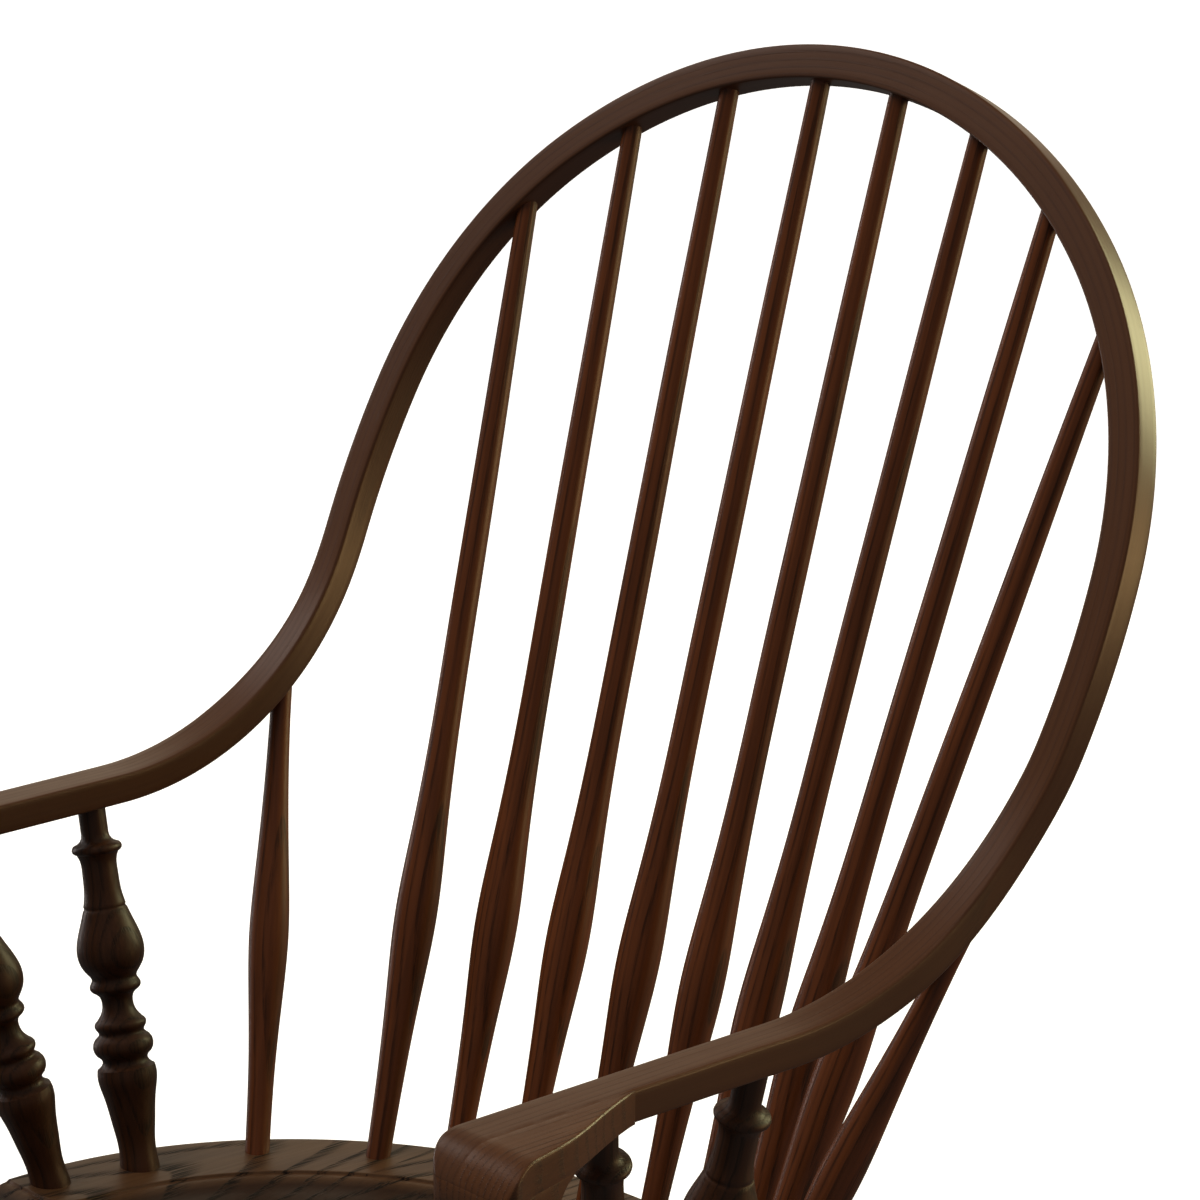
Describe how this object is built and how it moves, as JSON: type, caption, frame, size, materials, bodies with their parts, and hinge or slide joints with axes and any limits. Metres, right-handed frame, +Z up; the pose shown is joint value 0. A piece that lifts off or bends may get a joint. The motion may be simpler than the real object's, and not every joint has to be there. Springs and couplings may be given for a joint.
{
  "type": "rocking chair",
  "caption": "Continuous-arm rocking chair with a bent hoop back, turned spindles, posts and legs, a carved seat and curved rockers.",
  "frame": {"origin": "middle of the footprint at floor level: the rockers touch the floor at z = 0", "axes": "+Z up, the chair faces -Y, +X is the sitter's left"},
  "size_m": [0.661, 0.8062, 1.0848],
  "materials": {
    "bent_strip": "dark walnut stain under a satin clear coat",
    "turned_sticks": "dark walnut stain under a satin clear coat",
    "turned_posts": "dark walnut stain under a satin clear coat",
    "hands": "dark walnut stain under a satin clear coat",
    "seat": "dark walnut stain under a satin clear coat",
    "rockers": "dark walnut stain under a satin clear coat",
    "pegs_and_pins": "dark walnut stain under a satin clear coat"
  },
  "bodies": {
    "root": {"arm_pins": "pegs_and_pins", "arm_post_front_left": "turned_posts", "arm_post_front_right": "turned_posts", "arm_post_rear_left": "turned_posts", "arm_post_rear_right": "turned_posts", "bow": "bent_strip", "cross_stretcher": "turned_posts", "hand_block_left": "hands", "hand_block_right": "hands", "hand_cheek_left": "hands", "hand_cheek_right": "hands", "leg_front_left": "turned_posts", "leg_front_right": "turned_posts", "leg_rear_left": "turned_posts", "leg_rear_right": "turned_posts", "long_spindle_left_1": "turned_sticks", "long_spindle_left_2": "turned_sticks", "long_spindle_left_3": "turned_sticks", "long_spindle_left_4": "turned_sticks", "long_spindle_right_1": "turned_sticks", "long_spindle_right_2": "turned_sticks", "long_spindle_right_3": "turned_sticks", "long_spindle_right_4": "turned_sticks", "rocker_left": "rockers", "rocker_pegs": "pegs_and_pins", "rocker_right": "rockers", "seat": "seat", "short_spindle_left": "turned_sticks", "short_spindle_right": "turned_sticks", "side_stretcher_left": "turned_posts", "side_stretcher_right": "turned_posts"}
  },
  "joints": []
}
